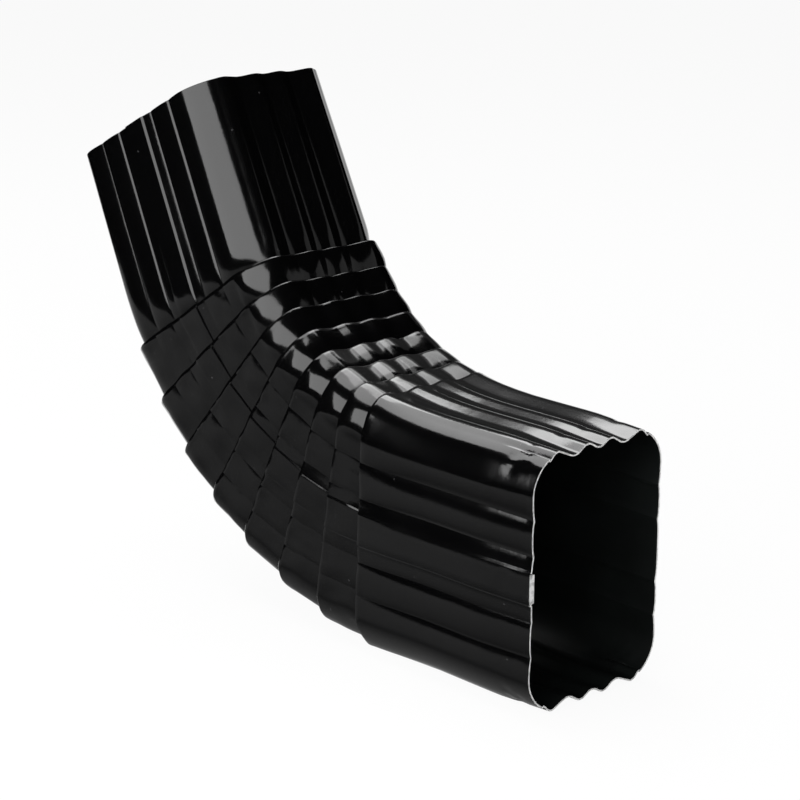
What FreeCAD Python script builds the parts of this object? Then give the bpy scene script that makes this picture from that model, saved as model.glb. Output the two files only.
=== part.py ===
import FreeCAD, Part
import math
import os

# A downspout elbow: one corrugated rectangular tube of thin sheet, turned by a row of crimps.
# The frame has its origin at the centre of the outlet's mouth. X runs out of the outlet, Z points up
# from the heel (the outside of the bend) to the throat, and the lock seam is on the -Y side.
# A place on the section has two numbers: rise, from the heel to the throat, and side, along Y.

doc = FreeCAD.newDocument("downspout_elbow")
sizes = doc.addObject("Spreadsheet::Sheet", "sizes")

DRIVING = [
    # the tube's section
    ("depth", 82.6),           # over the ridges, heel to throat
    ("width", 57.6),           # over the swells of the two sides
    ("sheet", 0.5),            # wall
    ("corner_radius", 14.4),
    # flutes of the two narrow faces, placed by their share of the half width
    ("outer_ridge", 0.66),     # the ridge beside the corner
    ("outer_valley", 0.375),
    ("inner_ridge", 0.18),
    ("ridge_top", 1.5),        # flat on top of a ridge
    ("ridge_foot", 2.0),       # from the outer ridge to the corner's arc
    ("flute_depth", 2.0),
    ("shoulder_drop", 1.6),    # from the outer ridge down to the corner's arc
    # creases of the two sides, placed by their share of the half depth; the sheet swells between them
    ("outer_crease", 0.52),
    ("inner_crease", 0.25),
    ("crease_reach", 0.11),    # from the inner crease to the top of the middle swell
    ("swell_share", 0.78),     # the top of the last swell, on the way from the outer crease to the corner
    ("crease_depth", 0.45),
    # the lock seam, four layers of sheet pressed flat
    ("seam_width", 7.6),
    ("seam_drop", 0.9),        # from mid depth towards the heel
    ("seam_slope", 3.5),       # run of its slope on the throat side
    ("seam_step", 0.5),        # run of its step on the heel side
    ("seam_proud", 0.5),       # outside
    ("seam_inside", 1.0),      # inside
    # the bend
    ("crimp_count", 8),
    ("crimp_angle", 7.95),     # turn at each crimp
    ("heel_pitch", 21.0),      # from crimp to crimp along the heel
    ("heel_tuck", 0.7),        # overlap of the fold at the heel; it grows towards the throat
    ("crimp_press", 1.0),      # the flutes are pressed this much shallower in the bend
    ("lip_heel", 0.3),         # how far a lip stands out
    ("lip_side", 0.9),
    ("lip_throat", 2.1),
    ("tail_heel", 1.0),        # how far a tail is tucked in
    ("tail_side", 1.3),
    ("tail_throat", 1.4),
    # the legs, measured along the heel
    ("inlet_leg", 71.0),
    ("inlet_taper", 0.4),      # the inlet is this much smaller all round, the foot of its leg larger
    ("inlet_foot", 6.0),       # from the last lip to the foot
    ("outlet_leg", 75.7),
    ("settle_length", 32.0),   # over this length the outlet leg comes down from the first lip
    ("neck_length", 13.0),     # the outlet is drawn in to enter the next pipe
    ("neck_depth", 0.8),
    ("neck_side", 1.2),
    ("neck_flute", 0.9),       # the flutes are this much deeper there
    ("neck_corner", 10.0),      # the corner's radius there
]
for row, (name, number) in enumerate(DRIVING, 1):
    sizes.set("A%d" % row, name)
    sizes.set("B%d" % row, str(number))
    sizes.setAlias("B%d" % row, name)
doc.recompute()


def size(name):
    return float(getattr(sizes, name))


def section(heel=0.0, side=0.0, throat=0.0, flute=0.0, crease=1.0, corner="corner_radius", skin=0.0, seam=0.0):
    """Outline of the tube, drawn with X as rise and Y as side.

    heel, side and throat move those faces outwards, flute deepens the flutes, crease scales the
    creases, corner names the corner's radius, skin shifts the whole outline outwards and seam is the
    seam's height on it."""
    half_width, half_depth = size("width") / 2, size("depth") / 2
    swell = half_width + side + skin
    groove = swell - size("crease_depth") * crease
    valley = size("flute_depth") + flute
    drop = size("shoulder_drop") + min(flute, 0)
    edge = size("ridge_top") / 2
    ridge = half_width * size("outer_ridge")
    radius = size(corner) + skin
    span = math.acos(1 - min(swell - ridge - edge - size("ridge_foot"), radius) / radius)

    def quarter(sign, move):
        """From the middle of a narrow face round the corner to the middle of a side."""
        top = half_depth + move + skin
        inner = half_width * size("inner_ridge")
        run = [(top - valley * 0.85, 0), (top, inner - edge), (top, inner + edge),
               (top - valley, half_width * size("outer_valley")), (top, ridge - edge), (top, ridge + edge)]
        base = top - drop - radius * math.sin(span)
        for step in range(5):
            turn = span * (1 - step / 4)
            run.append((base + radius * math.sin(turn), swell - radius * (1 - math.cos(turn))))
        high, low = half_depth * size("outer_crease"), half_depth * size("inner_crease")
        reach = half_depth * size("crease_reach")
        run += [(high + (base - high) * size("swell_share"), swell), (high, groove),
                ((high + low) / 2, swell), (low, groove), (low - reach, swell)]
        return [(half_depth + sign * rise, out) for rise, out in run]

    # the seam has a slope towards the throat and a sharp step towards the heel, up to the inner creases
    low = -size("seam_drop") - size("seam_width") / 2
    high = low + size("seam_width")
    lock = [(half_depth + rise, swell + seam * part)
            for rise, part in ((low - size("seam_step"), 0), (low, 1), (high, 1), (high + size("seam_slope"), 0))]
    far = quarter(1, throat) + quarter(-1, heel)[::-1]
    near = quarter(-1, heel)[1:-1] + lock + quarter(1, throat)[-2:0:-1]
    points = [FreeCAD.Vector(rise, out, 0) for rise, out in far]
    points += [FreeCAD.Vector(rise, -out, 0) for rise, out in near]
    return Part.makePolygon(points + points[:1])


def place(ring, crimp, turn, along="0"):
    """Put a section at the heel of a crimp, counted from the outlet.

    turn leans it, in crimp angles from the outlet's plane; along moves it upstream."""
    lean = "(%s * sizes.crimp_angle * 1 deg)" % turn
    half = "(sizes.crimp_angle * 0.5 deg)"
    run = "sizes.heel_pitch * sin(%d * %s) / sin(%s)" % (crimp, half, half)
    ahead = "(%d * %s)" % (crimp + 1, half)
    ring.Placement = FreeCAD.Placement(FreeCAD.Vector(), FreeCAD.Rotation(FreeCAD.Vector(0, 1, 0), -45))
    ring.setExpression("Placement.Base.x", "-sizes.outlet_leg - %s * cos(%s) - (%s) * cos(%s)"
                       % (run, ahead, along, lean))
    ring.setExpression("Placement.Base.z", "-sizes.depth / 2 + %s * sin(%s) + (%s) * sin(%s)"
                       % (run, ahead, along, lean))
    ring.setExpression("Placement.Rotation.Angle", "%s - 90 deg" % lean)
    return ring


def ring(name, wire, crimp, turn, along="0"):
    made = doc.addObject("Part::Feature", name)
    made.Shape = wire
    return place(made, crimp, turn, along)


count = int(size("crimp_count"))
wall = size("sheet")
press = -size("crimp_press")
tail = dict(heel=-size("tail_heel"), side=-size("tail_side"), throat=-size("tail_throat"), flute=press)
lip = dict(heel=size("lip_heel"), side=size("lip_side"), throat=size("lip_throat"), flute=press)
neck = dict(heel=-size("neck_depth"), side=-size("neck_side"), throat=-size("neck_depth"),
            flute=size("neck_flute"), crease=0.6, corner="neck_corner")


def between(first, second, share):
    return {key: first[key] + (second[key] - first[key]) * share for key in first}


def all_round(gap, start={}):
    return {**start, **{face: start.get(face, 0) + gap for face in ("heel", "side", "throat")}}


def skin_rings(name, skin, leg_seam):
    """The sections of one skin of the sheet, from the outlet up to the inlet."""
    rings = []

    def add(what, crimp, turn, along, seam=size("seam_proud"), **gains):
        wire = section(skin=skin, seam=seam, **gains)
        rings.append(ring("%s_%s" % (name, what), wire, crimp, turn, along))

    add("outlet", 0, 0, "-sizes.outlet_leg", leg_seam, **neck)
    add("neck", 0, 0, "sizes.neck_length - sizes.outlet_leg", leg_seam)
    add("settled", 0, 0, "-sizes.settle_length", leg_seam)
    for crimp in range(count):
        # the fold at a crimp: the lower piece's lip, the turn under it and the upper piece's tail
        high, low = crimp + 0.25, crimp + 0.75
        tuck = "sizes.heel_tuck / 2"
        if skin == 0:
            add("lip_%d" % crimp, crimp, high, tuck, **lip)
            add("edge_%d" % crimp, crimp, high, tuck, **between(tail, lip, 0.62))
            add("groove_%d" % crimp, crimp, low, "-" + tuck, **tail)
        else:
            add("under_%d" % crimp, crimp, high, tuck + " - sizes.sheet", **between(tail, lip, 0.9))
            add("turn_%d" % crimp, crimp, low, "-%s - sizes.sheet" % tuck, **all_round(2 * wall, tail))
            add("tail_%d" % crimp, crimp, low, "-%s - sizes.sheet" % tuck, **tail)
    add("foot", count - 1, count - 0.75, "sizes.inlet_foot", leg_seam, **all_round(size("inlet_taper")))
    add("inlet", count - 1, count, "sizes.inlet_leg", leg_seam, **all_round(-size("inlet_taper")))
    return rings


def strips(rings):
    """Ruled faces from each section to the next, edge by edge."""
    faces = []
    for first, second in zip(rings, rings[1:]):
        for one, two in zip(first.Shape.OrderedEdges, second.Shape.OrderedEdges):
            faces += Part.makeRuledSurface(one, two, 1).Faces
    return faces


def rim(name, outer, inner):
    """The cut edge of the sheet at an end."""
    made = doc.addObject("Part::Face", name)
    made.Sources = [outer, inner]
    made.FaceMakerClass = "Part::FaceMakerBullseye"
    return made


outer = skin_rings("outer", 0, size("seam_proud"))
inner = skin_rings("inner", -wall, -size("seam_inside"))
rims = [rim("outlet_rim", outer[0], inner[0]), rim("inlet_rim", outer[-1], inner[-1])]
doc.recompute()

# the sheet itself: both skins and both rims sewn into one solid
faces = strips(outer) + strips(inner) + [item.Shape.Faces[0] for item in rims]
shell = Part.makeShell(faces)
shell.sewShape(0.001)
elbow = doc.addObject("Part::Feature", "elbow")
elbow.Label = "elbow"
elbow.Shape = Part.Solid(shell)
doc.recompute()

for item in doc.Objects:
    if "Invalid" in item.State or "Error" in item.State:
        raise RuntimeError("%s did not build" % item.Label)
    if hasattr(item, "Shape") and (item.Shape.isNull() or not item.Shape.isValid()):
        raise RuntimeError("%s has a bad shape" % item.Label)
if len(elbow.Shape.Solids) != 1:
    raise RuntimeError("the elbow is not one solid")

os.makedirs("parts", exist_ok=True)
elbow.Shape.exportStep("parts/elbow.step")
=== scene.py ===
import math
import bpy
import bmesh
from mathutils import Matrix, Vector, noise


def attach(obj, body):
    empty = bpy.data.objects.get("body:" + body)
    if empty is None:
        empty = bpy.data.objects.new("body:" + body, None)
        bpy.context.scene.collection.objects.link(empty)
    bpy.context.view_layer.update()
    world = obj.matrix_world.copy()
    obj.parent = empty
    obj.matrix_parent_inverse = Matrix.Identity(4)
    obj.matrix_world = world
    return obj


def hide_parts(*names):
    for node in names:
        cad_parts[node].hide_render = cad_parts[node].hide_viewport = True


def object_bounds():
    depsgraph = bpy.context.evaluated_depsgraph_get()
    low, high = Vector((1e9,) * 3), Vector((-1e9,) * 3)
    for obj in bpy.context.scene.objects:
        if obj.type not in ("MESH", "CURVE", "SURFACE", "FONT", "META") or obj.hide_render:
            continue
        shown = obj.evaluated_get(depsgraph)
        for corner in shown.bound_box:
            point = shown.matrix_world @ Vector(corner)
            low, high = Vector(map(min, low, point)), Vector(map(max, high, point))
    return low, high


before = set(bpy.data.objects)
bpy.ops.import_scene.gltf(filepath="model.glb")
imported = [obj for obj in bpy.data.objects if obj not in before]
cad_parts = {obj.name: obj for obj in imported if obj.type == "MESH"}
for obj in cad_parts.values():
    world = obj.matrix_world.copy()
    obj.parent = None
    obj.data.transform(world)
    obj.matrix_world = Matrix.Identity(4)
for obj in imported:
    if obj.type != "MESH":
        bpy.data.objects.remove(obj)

cad_low, cad_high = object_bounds()


# Roll-formed section: thin aluminium coil stock is rolled into a fluted rectangular tube. The two narrow
# faces carry ridges and valleys, the two broad sides swell between sharp creases, and a flat lock seam
# closes the -Y side. X is the rise from the middle to the throat, Y the side, in millimetres.
half_depth, half_width = 41.3, 28.8
outer_crease, inner_crease, crease_side = 21.5, 10.3, 28.35
foot_rise, seam_proud = 5.8, 0.5

# a quarter of the outline, from the middle of the throat to the foot beside the middle of a side:
# each point's rise and side, and how far its bend is rounded off
quarter = [
    (39.6, 0.0, 1.8), (41.7, 5.2, 1.9), (39.3, 10.8, 1.8), (41.7, 19.0, 1.7), (39.7, 21.75, 0.6),
    (35.52, half_width, 7.5), (26.0, half_width, 1.2), (outer_crease, crease_side, 0.12), (15.9, 29.25, 5.4),
    (inner_crease, crease_side, 0.12), (foot_rise, half_width, 1.2),
]
sheet = bmesh.new()
flat = sheet.verts.layers.float_vector.new("flat")
work = sheet.verts.layers.float.new("work")
reach = sheet.verts.layers.float.new("reach")


def is_foot(vert):
    """Whether a point is one of the two beside the middle of a side."""
    return abs(vert.co.x) < foot_rise + 0.1 and abs(vert.co.y) > half_width - 0.1


corners = []
for rise, side, round_off in quarter:
    corner = sheet.verts.new((rise, side, 0.0))
    corner[reach] = round_off
    corners.append(corner)
for first, second in zip(corners, corners[1:]):
    sheet.edges.new((first, second))
bmesh.ops.mirror(sheet, geom=sheet.verts[:] + sheet.edges[:], axis="X", merge_dist=0.001)
sheet.edges.new([vert for vert in sheet.verts if is_foot(vert)])
bmesh.ops.mirror(sheet, geom=sheet.verts[:] + sheet.edges[:], axis="Y", merge_dist=0.001)

# the seam's band: a slope on its throat side, a sharp step on its heel side
near_feet = [vert for vert in sheet.verts if is_foot(vert) and vert.co.y < 0.0]
low_foot, high_foot = sorted(near_feet, key=lambda vert: vert.co.x)
seam_edge = next(edge for edge in low_foot.link_edges if high_foot in edge.verts)
upper = bmesh.utils.edge_split(seam_edge, low_foot, 0.5)[1]
lower_edge = next(edge for edge in low_foot.link_edges if upper in edge.verts)
lower = bmesh.utils.edge_split(lower_edge, low_foot, 0.5)[1]
for vert, rise, out, round_off in ((low_foot, -5.2, -0.3, 0.12), (lower, -4.7, seam_proud, 0.2),
                                   (upper, 5.3, seam_proud, 0.15), (high_foot, 6.0, 0.0, 0.15)):
    vert.co = (rise, -half_width - out, 0.0)
    vert[reach] = round_off

# large bends get more segments than small ones, and long flats are halved twice
bend_segments = ((7.0, 14), (5.0, 12), (1.6, 5), (0.0, 2))
longest_edge = 2.4
for round_off in sorted({round(vert[reach], 3) for vert in sheet.verts}):
    bends = [vert for vert in sheet.verts if abs(vert[reach] - round_off) < 0.001]
    segments = next(count for least, count in bend_segments if round_off > least)
    bmesh.ops.bevel(sheet, geom=bends, offset=round_off, offset_type="OFFSET", affect="VERTICES",
                    segments=segments, profile=0.5, material=-1)
    for vert in sheet.verts:
        if abs(vert[reach] - round_off) < 0.001:
            vert[reach] = -1.0
for halving in range(2):
    long_edges = [edge for edge in sheet.edges if edge.calc_length() > longest_edge]
    bmesh.ops.subdivide_edges(sheet, edges=long_edges, cuts=1)
for vert in sheet.verts:
    vert[flat] = vert.co


# Crimped bend: the tube is folded over itself in a row of crimps, each a Z of three layers. The lower
# piece ends in a rolled lip, the sheet doubles back under it, and the next piece comes out as a tail.
# Lip, tail and the like are how far the heel, the sides and the throat stand out of the plain section.
turn = math.radians(7.95)
heel_pitch, outlet_leg, inlet_leg, crimp_count = 21.0, 75.7, 71.0, 8
lip = Vector((0.3, 0.9, 2.1))
tail = Vector((-1.0, -1.3, -1.4))
bulge = Vector((0.1, 0.05, 0.9))
even = Vector((1.0, 1.0, 1.0))

# half the overlap at the heel, the radius of a rolled lip and the gap at the bottom of a fold
tuck, bead, fold_gap = 0.35, 0.6, 0.1
# in the bend the flutes lose depth, the creases and the seam keep a share of theirs, the corners rise
press, eased, seam_kept, corner_press, crown = -1.0, 0.28, 0.12, 0.8, 1.3
# the sharp bottom of a crease
nick_depth, nick_width = 0.16, 0.5

# where the sides, the corners and the flutes of the section begin and end, and the corner's two arcs
side_top, seam_top, shoulder, flute_floor, flute_depth = 27.0, 7.0, 21.8, 39.0, 2.0
corner_foot, corner_radius, corner_turn = 27.32, 14.4, 1.035
tight_foot, tight_radius, tight_turn = 31.76, 8.0, 1.452

heels = [Vector((-outlet_leg, 0.0, -half_depth))]
for crimp in range(1, crimp_count):
    heels.append(heels[-1] + heel_pitch * Vector((-math.cos(crimp * turn), 0.0, math.sin(crimp * turn))))


def stand(outline, heel, lean, along, out, flute=0.0, crease=1.0, squared=0.0, puff=0.0):
    """Where a point of the section lies once the ring is set at a heel point, leaned and moved upstream.

    flute deepens the flutes, crease scales the creases, squared draws the corners to their tighter arc
    and puff crowns the two corners beside the throat."""
    up, off = abs(outline.x), abs(outline.y)
    if up < side_top and off < half_width:
        nick = sum(math.exp(-abs(up - line) / nick_width) for line in (outer_crease, inner_crease))
        off = half_width + (off - half_width - nick_depth * nick) * crease
    elif up < seam_top:
        off = half_width + (off - half_width) * min(crease + seam_kept, 1.0)
    elif up > corner_foot and off > shoulder:
        share = math.asin(min((up - corner_foot) / corner_radius, 1.0)) / corner_turn
        tight = share * tight_turn
        lifted = min(flute, 0.0) * corner_press * share
        up += squared * (tight_foot + tight_radius * math.sin(tight) - up) - lifted
        off += squared * (half_width - tight_radius * (1.0 - math.cos(tight)) - off)
        if outline.x > 0:
            raised = puff * math.sin(math.pi * min(share, 1.0))
            up += raised * math.sin(share * corner_turn)
            off += raised * math.cos(share * corner_turn)
    elif off < shoulder and up > flute_floor:
        up -= flute * (half_depth - up) / flute_depth
    rise, side = math.copysign(up, outline.x), math.copysign(off, outline.y)
    rise += rise / half_depth * (out.z if rise > 0 else out.x)
    side += side / half_width * out.y
    upstream = Vector((-math.cos(lean), 0.0, math.sin(lean)))
    throatward = Vector((math.sin(lean), 0.0, math.cos(lean)))
    return heel + along * upstream + (rise + half_depth) * throatward + Vector((0.0, side, 0.0))


def next_ring(ring, where, worked):
    """Carries the sheet on by one ring of edges, sets the new ring in place and returns it."""
    grown = bmesh.ops.extrude_edge_only(sheet, edges=ring)["geom"]
    fresh = {item for item in grown if isinstance(item, bmesh.types.BMVert)}
    for vert in fresh:
        vert.co = where(vert[flat])
        vert[work] = worked
    return [item for item in grown if isinstance(item, bmesh.types.BMEdge)
            and item.verts[0] in fresh and item.verts[1] in fresh]


# the outlet leg, from its drawn-in neck to the first lip, which it flares out to meet
drawn_in = Vector((-0.8, -0.9, -0.8))
neck_rim, neck_length, neck_flute, neck_square = 1.0, 19.0, 0.9, 0.25
outlet_crease, crease_gain = 1.1, 0.018
flare_length, flare_power = 32.0, 1.5
neck_rings = [1.5, 3.0, 4.5, 6.0, 7.5, 9.0, 10.5, 12.0, 13.5, 15.0, 17.0, 19.0]
ring = sheet.edges[:]
for vert in sheet.verts:
    vert.co = stand(vert[flat], heels[0], 0.0, -outlet_leg, drawn_in, neck_flute, 1.0, neck_square)
for back in neck_rings + [23.0, 30.0, 38.0, 46.0, 54.0, 61.0, 67.0, 71.5, 74.0]:
    drawn = 1.0 - min(max((back - neck_rim) / neck_length, 0.0), 1.0)
    flare = max(1.0 - (outlet_leg - back) / flare_length, 0.0) ** flare_power

    def lower_leg(point):
        """The creases are deeper towards the throat and fade into the lip."""
        crease = (outlet_crease + crease_gain * point.x) * (1.0 - flare) + eased * flare
        return stand(point, heels[0], turn * 0.25 * flare, back - outlet_leg, drawn_in * drawn + lip * flare,
                     neck_flute * drawn + press * flare, crease, neck_square * drawn)

    ring = next_ring(ring, lower_leg, 0.0)


def in_bend(point, heel, lean, along, out, puff=0.0):
    """A point of the bend, where the flutes and the creases are pressed flatter."""
    return stand(point, heel, lean, along, out, press, eased, 0.0, puff)


wave_rate, wave_shift, wave_height, wave_lift = 0.13, 7.3, 0.3, 0.4
roll_steps = 4
for crimp in range(crimp_count):
    heel, lip_lean, tail_lean = heels[crimp], (crimp + 0.25) * turn, (crimp + 0.75) * turn

    def wave(point):
        """The press leaves each lip a little wavy."""
        spot = Vector((point.x * wave_rate, point.y * wave_rate, crimp * wave_shift))
        return noise.noise(spot) * wave_height

    # the lip is rolled over
    for step in range(roll_steps + 1):
        roll = math.pi * step / roll_steps
        along = tuck - bead + bead * math.sin(roll)
        out = lip - even * bead * (1.0 - math.cos(roll))
        ring = next_ring(ring, lambda point: in_bend(
            point, heel, lip_lean, along + wave(point), out + even * wave(point) * wave_lift), 1.0)
    # the middle layer runs back under it to the bottom of the fold
    under = lip - even * bead * 2.0
    for share in (0.5, 0.95):
        out = under.lerp(tail, share)
        ring = next_ring(ring, lambda point: in_bend(point, heel, lip_lean, tuck - bead, out).lerp(
            in_bend(point, heel, tail_lean, -tuck, out), share), 1.0)
    ring = next_ring(ring, lambda point: in_bend(point, heel, tail_lean, -tuck - fold_gap, tail), 1.0)
    # the next piece comes out of the fold and runs up to the next lip
    if crimp + 1 < crimp_count:
        far, far_lean = heels[crimp + 1], (crimp + 1.25) * turn
        for share in (0.05, 0.13, 0.24, 0.37, 0.5, 0.63, 0.76, 0.87, 0.95):
            swell = math.sin(math.pi * share)
            out = tail.lerp(lip, share) + bulge * swell
            puff = crown * swell
            ring = next_ring(ring, lambda point: in_bend(point, heel, tail_lean, -tuck, out, puff).lerp(
                in_bend(point, far, far_lean, tuck - bead, out, puff), share), 1.0)

# the inlet leg, from the last fold to its plain cut mouth, a little narrower than its foot
last, last_lean, mouth_lean = heels[-1], (crimp_count - 0.25) * turn, crimp_count * turn
foot_gain, taper_drop = 0.45, 0.85
inlet_crease, corner_tuck = 1.25, -3.0
curl_side, curl_throat, curl_heel = 10.0, 6.0, 16.0
foot_work, work_fade, lean_fade = 0.4, 15.0, 8.0
foot_rings = [0.8, 2.0, 3.5, 5.0, 6.5, 8.0, 9.5, 11.0, 13.0, 15.0, 17.5, 20.5]
for along in foot_rings + [25.0, 33.0, 42.0, 51.0, 60.0, 67.0, inlet_leg]:
    taper = foot_gain - taper_drop * along / inlet_leg
    lean = mouth_lean + (last_lean - mouth_lean) * math.exp(-along / lean_fade)

    def upper_leg(point):
        """The foot of the leg curls in to the fold, over a longer way at the heel."""
        extra = curl_throat if point.x > 0 else curl_heel
        curl_length = curl_side + extra * (point.x / half_depth) ** 2
        curl = max(1.0 - along / curl_length, 0.0) ** 2
        return stand(point, last, lean, along, tail * curl + even * taper * (1.0 - curl), press * curl,
                     inlet_crease + (eased - inlet_crease) * curl, 0.0, corner_tuck * curl)

    ring = next_ring(ring, upper_leg, foot_work * math.exp(-along / work_fade))

# the painted faces point outwards, which the outlet leg tells
bmesh.ops.recalc_face_normals(sheet, faces=sheet.faces[:])
leg_faces = [face for face in sheet.faces if face.calc_center_median().x > -outlet_leg]
if sum(face.normal.y * face.calc_center_median().y for face in leg_faces) < 0:
    bmesh.ops.reverse_faces(sheet, faces=sheet.faces[:])
sheet.normal_update()
for edge in sheet.edges:
    edge.smooth = not edge.is_boundary

# handling marks: the crimped pieces are dented a little, the legs almost true, the seam never quite flat;
# each kind has a rate per millimetre, a depth on the legs, and what the press adds to it
marks = ((0.12, 0.0, 0.3), (0.3, 0.0, 0.1), (0.05, 0.06, 0.2))
seam_rate, seam_mark = 0.16, 0.09
seam_face = -half_width - 0.3
for vert in sheet.verts:
    dent = sum(noise.noise(vert.co * rate) * (deep + pressed * vert[work]) for rate, deep, pressed in marks)
    if vert[flat].y < seam_face:
        dent += noise.noise(vert.co * seam_rate) * seam_mark
    vert.co += vert.normal * dent

# the swage that draws the neck in leaves dents where it started, each with its place, width and depth
swage_end = -18.0
swage = [(Vector((-9.8, -29.2, 1.8)), 1.7, 0.2), (Vector((-7.6, -28.9, -2.6)), 1.3, 0.12)]
for across in (-1.0, 1.0):
    for rise in (-1.0, 1.0):
        swage += [(Vector((-8.5, 22.0 * across, 39.2 * rise)), 1.7, 0.5),
                  (Vector((-12.0, 24.0 * across, 38.0 * rise)), 1.5, 0.4),
                  (Vector((-6.5, 25.0 * across, 36.6 * rise)), 1.5, 0.4),
                  (Vector((-10.5, 26.4 * across, 34.8 * rise)), 1.5, 0.35),
                  (Vector((-11.0, 5.2 * across, 41.0 * rise)), 1.6, 0.3),
                  (Vector((-10.2, 19.0 * across, 41.0 * rise)), 1.6, 0.3)]
for vert in sheet.verts:
    if vert.co.x > swage_end:
        for spot, wide, deep in swage:
            vert.co -= vert.normal * deep * math.exp(-((vert.co - spot).length / wide) ** 2)

millimetre = 0.001
bmesh.ops.scale(sheet, vec=even * millimetre, verts=sheet.verts[:])
mesh = bpy.data.meshes.new("elbow_sheet")
sheet.to_mesh(mesh)
sheet.free()
elbow = bpy.data.objects.new("elbow_sheet", mesh)
bpy.context.scene.collection.objects.link(elbow)
for polygon in mesh.polygons:
    polygon.use_smooth = True

# one layer of sheet all round, four in the seam along the legs
sheet_gauge, seam_layers = 0.5 * millimetre, 4
layers = elbow.vertex_groups.new(name="layers")
for index, (spot, worked) in enumerate(zip(mesh.attributes["flat"].data, mesh.attributes["work"].data)):
    in_seam = spot.vector.y < seam_face and worked.value < 0.05
    layers.add([index], 1.0 if in_seam else 1.0 / seam_layers, "REPLACE")
gauge = elbow.modifiers.new("gauge", "SOLIDIFY")
gauge.thickness = sheet_gauge * seam_layers
gauge.offset = -1.0
gauge.vertex_group = "layers"
gauge.material_offset = 1
gauge.material_offset_rim = 2


# Finishes: glossy black paint outside, a thin dull wash coat inside, and bare aluminium where the
# shears cut the sheet at both mouths.
def grain(tree, scale, detail):
    """A noise that stays on the piece."""
    place = tree.nodes.new("ShaderNodeTexCoord")
    texture = tree.nodes.new("ShaderNodeTexNoise")
    texture.inputs["Scale"].default_value = scale
    texture.inputs["Detail"].default_value = detail
    tree.links.new(place.outputs["Object"], texture.inputs["Vector"])
    return texture.outputs["Fac"]


def bumped(tree, source, strength, distance):
    """A bump as high as its source is bright."""
    bump = tree.nodes.new("ShaderNodeBump")
    bump.inputs["Strength"].default_value = strength
    bump.inputs["Distance"].default_value = distance
    tree.links.new(source, bump.inputs["Height"])
    return bump


def two_tone(tree, source, low, low_colour, high, high_colour):
    """A colour that goes from one to another between two levels of its source."""
    ramp = tree.nodes.new("ShaderNodeValToRGB")
    for element, level, colour in zip(ramp.color_ramp.elements, (low, high), (low_colour, high_colour)):
        element.position = level
        element.color = (*colour, 1.0)
    tree.links.new(source, ramp.inputs["Fac"])
    return ramp.outputs["Color"]


paint = bpy.data.materials.new("black_paint")
paint.use_nodes = True
tree = paint.node_tree
shader = tree.nodes["Principled BSDF"]
shader.inputs["IOR"].default_value = 1.5

# orange peel over a slow waviness in the dried paint
wavy = bumped(tree, grain(tree, 130.0, 1.0), 0.08, 0.0006)
peel = bumped(tree, grain(tree, 900.0, 2.0), 0.05, 0.0002)
tree.links.new(wavy.outputs["Normal"], peel.inputs["Normal"])
tree.links.new(peel.outputs["Normal"], shader.inputs["Normal"])

# specks of dust and lint, and smudges that dull the gloss
specks = two_tone(tree, grain(tree, 420.0, 3.0), 0.735, (0.0012, 0.0012, 0.0013), 0.80, (0.05, 0.05, 0.052))
tree.links.new(specks, shader.inputs["Base Color"])
dull = tree.nodes.new("ShaderNodeMapRange")
dull.inputs["From Min"].default_value = 0.4
dull.inputs["From Max"].default_value = 0.75
dull.inputs["To Min"].default_value = 0.1
dull.inputs["To Max"].default_value = 0.16
tree.links.new(grain(tree, 38.0, 4.0), dull.inputs["Value"])
tree.links.new(dull.outputs["Result"], shader.inputs["Roughness"])

wash = bpy.data.materials.new("wash_coat")
wash.use_nodes = True
tree = wash.node_tree
shader = tree.nodes["Principled BSDF"]
streaks = two_tone(tree, grain(tree, 60.0, 4.0), 0.3, (0.002, 0.0026, 0.0025), 0.7, (0.004, 0.0052, 0.005))
tree.links.new(streaks, shader.inputs["Base Color"])
shader.inputs["Roughness"].default_value = 0.5
shader.inputs["Specular IOR Level"].default_value = 0.3

bare = bpy.data.materials.new("cut_aluminium")
bare.use_nodes = True
tree = bare.node_tree
shader = tree.nodes["Principled BSDF"]
burr = two_tone(tree, grain(tree, 700.0, 3.0), 0.35, (0.55, 0.55, 0.55), 0.55, (0.9, 0.9, 0.89))
tree.links.new(burr, shader.inputs["Base Color"])
shader.inputs["Metallic"].default_value = 0.3
shader.inputs["Roughness"].default_value = 0.6
for finish in (paint, wash, bare):
    mesh.materials.append(finish)

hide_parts("elbow")
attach(elbow, "root")


# Studio: a pale floor under the elbow, white all round it for the camera, and soft boxes whose shapes show
# in the gloss.
# Cards that only the gloss sees keep the rest of the room out of the paint, and paint reflections of a lit
# table and a bright backdrop into it.
middle = Vector((-0.09, 0.0, 0.03))
floor_radius, floor_gap = 3.0, 0.0002
dome_radius = 2.6


def seen_directly(tree):
    """1 for a ray that shows what it meets: from the camera, off gloss or through glass."""
    path = tree.nodes.new("ShaderNodeLightPath")
    seen = path.outputs["Is Camera Ray"]
    for other in ("Is Glossy Ray", "Is Transmission Ray"):
        either = tree.nodes.new("ShaderNodeMath")
        either.operation = "MAXIMUM"
        tree.links.new(seen, either.inputs[0])
        tree.links.new(path.outputs[other], either.inputs[1])
        seen = either.outputs[0]
    return seen


floor_mesh = bpy.data.meshes.new("floor")
ground = bmesh.new()
bmesh.ops.create_circle(ground, cap_ends=True, segments=96, radius=floor_radius,
                        matrix=Matrix.Translation((middle.x, middle.y, cad_low[2] - floor_gap)))
ground.to_mesh(floor_mesh)
ground.free()
floor = bpy.data.objects.new("floor", floor_mesh)
bpy.context.scene.collection.objects.link(floor)

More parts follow.
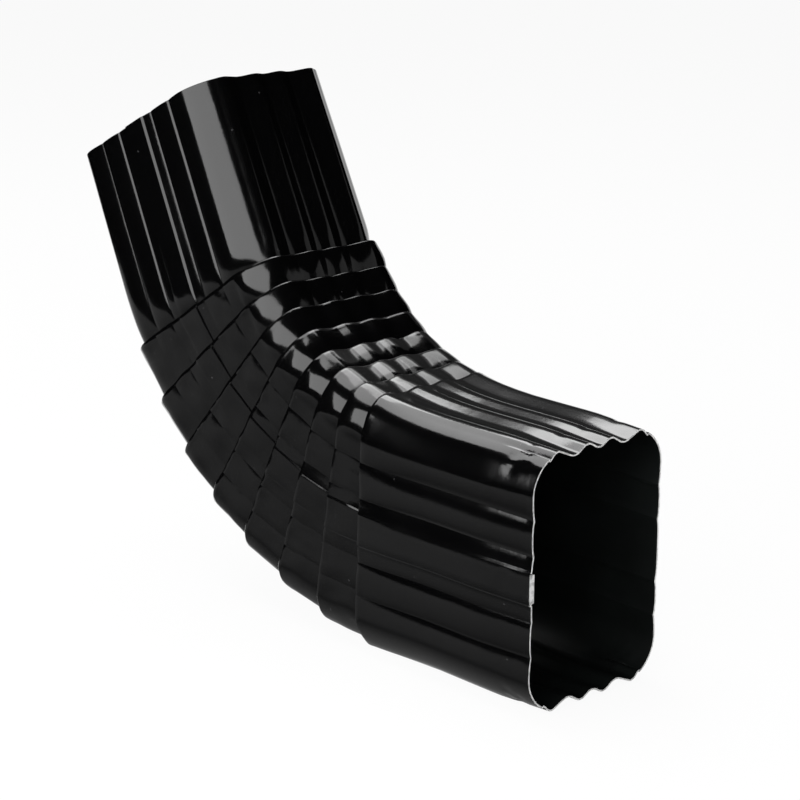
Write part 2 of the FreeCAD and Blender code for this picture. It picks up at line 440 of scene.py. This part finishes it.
# the floor shows nearly white, and keeps a little of the light and shadow on it
pale = bpy.data.materials.new("pale_floor")
pale.use_nodes = True
tree = pale.node_tree
tree.nodes.clear()
surface = tree.nodes.new("ShaderNodeOutputMaterial")
mix = tree.nodes.new("ShaderNodeMixShader")
lit = tree.nodes.new("ShaderNodeBsdfDiffuse")
lit.inputs["Color"].default_value = (0.86, 0.86, 0.86, 1.0)
white = tree.nodes.new("ShaderNodeEmission")
part = tree.nodes.new("ShaderNodeMath")
part.operation = "MULTIPLY"
part.inputs[1].default_value = 0.94
tree.links.new(seen_directly(tree), part.inputs[0])
tree.links.new(part.outputs[0], mix.inputs["Fac"])
tree.links.new(lit.outputs[0], mix.inputs[1])
tree.links.new(white.outputs[0], mix.inputs[2])
tree.links.new(mix.outputs[0], surface.inputs["Surface"])
floor_mesh.materials.append(pale)
floor.visible_glossy = False

world = bpy.data.worlds.new("studio")
bpy.context.scene.world = world
world.use_nodes = True
tree = world.node_tree
tree.nodes.clear()
sky = tree.nodes.new("ShaderNodeOutputWorld")
mix = tree.nodes.new("ShaderNodeMixShader")
dim = tree.nodes.new("ShaderNodeBackground")
dim.inputs["Color"].default_value = (0.05, 0.05, 0.05, 1.0)
white = tree.nodes.new("ShaderNodeBackground")
white.inputs["Color"].default_value = (1.0, 1.0, 1.0, 1.0)
tree.links.new(seen_directly(tree), mix.inputs["Fac"])
tree.links.new(dim.outputs[0], mix.inputs[1])
tree.links.new(white.outputs[0], mix.inputs[2])
tree.links.new(mix.outputs[0], sky.inputs["Surface"])

# cards: a dome that only the gloss sees, dark all round, grey from below as a painted reflection of a lit
# table, light behind the elbow as a painted reflection of a bright backdrop
back_from, back_to = -75, -15
card_mesh = bpy.data.meshes.new("cards")
cards = bmesh.new()
bmesh.ops.create_uvsphere(cards, u_segments=72, v_segments=36, radius=dome_radius)
for face in cards.faces:
    aim = face.calc_center_median().normalized()
    if back_from < math.degrees(math.atan2(aim.x, aim.y)) < back_to:
        face.material_index = 1
cards.to_mesh(card_mesh)
cards.free()
card = bpy.data.objects.new("cards", card_mesh)
card.location = middle
bpy.context.scene.collection.objects.link(card)

# each card's painted brightness by elevation, in degrees: below the horizon a painted table reflection with
# painted shade near -33 where the elbow's shadow falls, behind a painted backdrop and soft boxes
painted_room_tones = ((-90, 0.3), (-50, 0.26), (-33, 0.1), (-15, 0.34), (-14.5, 0.0), (90, 0.0))
painted_back_tones = ((-90, 0.2), (-30, 0.3), (-25, 1.0), (6, 1.0), (9, 0.05), (34, 0.1), (44, 0.5), (48, 4.0),
              (90, 3.0))
for name, tones in (("painted_room_card", painted_room_tones), ("painted_back_card", painted_back_tones)):
    tint = bpy.data.materials.new(name)
    tint.use_nodes = True
    tree = tint.node_tree
    tree.nodes.clear()
    surface = tree.nodes.new("ShaderNodeOutputMaterial")
    glow = tree.nodes.new("ShaderNodeEmission")
    place = tree.nodes.new("ShaderNodeTexCoord")
    parted = tree.nodes.new("ShaderNodeSeparateXYZ")
    height = tree.nodes.new("ShaderNodeMapRange")
    height.inputs["From Min"].default_value = -dome_radius
    height.inputs["From Max"].default_value = dome_radius
    ramp = tree.nodes.new("ShaderNodeValToRGB")
    while len(ramp.color_ramp.elements) < len(tones):
        ramp.color_ramp.elements.new(0.5)
    for element, (elevation, tone) in zip(ramp.color_ramp.elements, tones):
        element.position = 0.5 + 0.5 * math.sin(math.radians(elevation))
        element.color = (tone, tone, tone, 1.0)
    tree.links.new(place.outputs["Object"], parted.inputs["Vector"])
    tree.links.new(parted.outputs["Z"], height.inputs["Value"])
    tree.links.new(height.outputs["Result"], ramp.inputs["Fac"])
    tree.links.new(ramp.outputs["Color"], glow.inputs["Color"])
    tree.links.new(glow.outputs["Emission"], surface.inputs["Surface"])
    card_mesh.materials.append(tint)
card.visible_camera = False
card.visible_diffuse = False
card.visible_shadow = False
card.visible_transmission = False


def soft_box(name, azimuth, elevation, distance, wide, high, level):
    """A soft box facing the elbow. Level is its brightness beside white paper."""
    lamp = bpy.data.lights.new(name, "AREA")
    lamp.shape = "RECTANGLE"
    lamp.size, lamp.size_y = wide, high
    lamp.energy = level * math.pi * wide * high
    around, up = math.radians(azimuth), math.radians(elevation)
    aim = Vector((math.sin(around) * math.cos(up), math.cos(around) * math.cos(up), math.sin(up)))
    body = bpy.data.objects.new(name, lamp)
    body.location = middle + aim * distance
    body.rotation_euler = aim.to_track_quat("Z", "Y").to_euler()
    body.visible_camera = False
    bpy.context.scene.collection.objects.link(body)
    return body


soft_box("top_box", -84.0, 70.0, 1.1, 0.95, 0.95, 4.2)
soft_box("left_box", 174.0, 22.0, 0.9, 1.40, 0.70, 3.8)
soft_box("side_card", 46.0, 20.0, 1.2, 0.8, 0.52, 0.35)
fill = soft_box("front_fill", 120.0, 30.0, 1.3, 0.8, 0.8, 2.0)
fill.visible_glossy = False


# Camera: where the photograph was taken from, a little above the elbow with a long lens. It looks at
# the bend from the seam's side, with the outlet towards it.
looked_at, distance = Vector((-0.085, 0.0, 0.030)), 0.71888
around, up, tilt = math.radians(47.36), math.radians(15.78), math.radians(0.48)
lens = bpy.data.cameras.new("camera")
lens.lens = 100.38
lens.sensor_width = 36.0
lens.shift_x, lens.shift_y = -0.0058, 0.0185
camera = bpy.data.objects.new("camera", lens)
aim = Vector((math.sin(around) * math.cos(up), -math.cos(around) * math.cos(up), math.sin(up)))
camera.matrix_world = (Matrix.Translation(looked_at + aim * distance)
                       @ aim.to_track_quat("Z", "Y").to_matrix().to_4x4() @ Matrix.Rotation(tilt, 4, "Z"))
bpy.context.scene.collection.objects.link(camera)
bpy.context.scene.camera = camera
bpy.context.scene.view_settings.view_transform = "Standard"
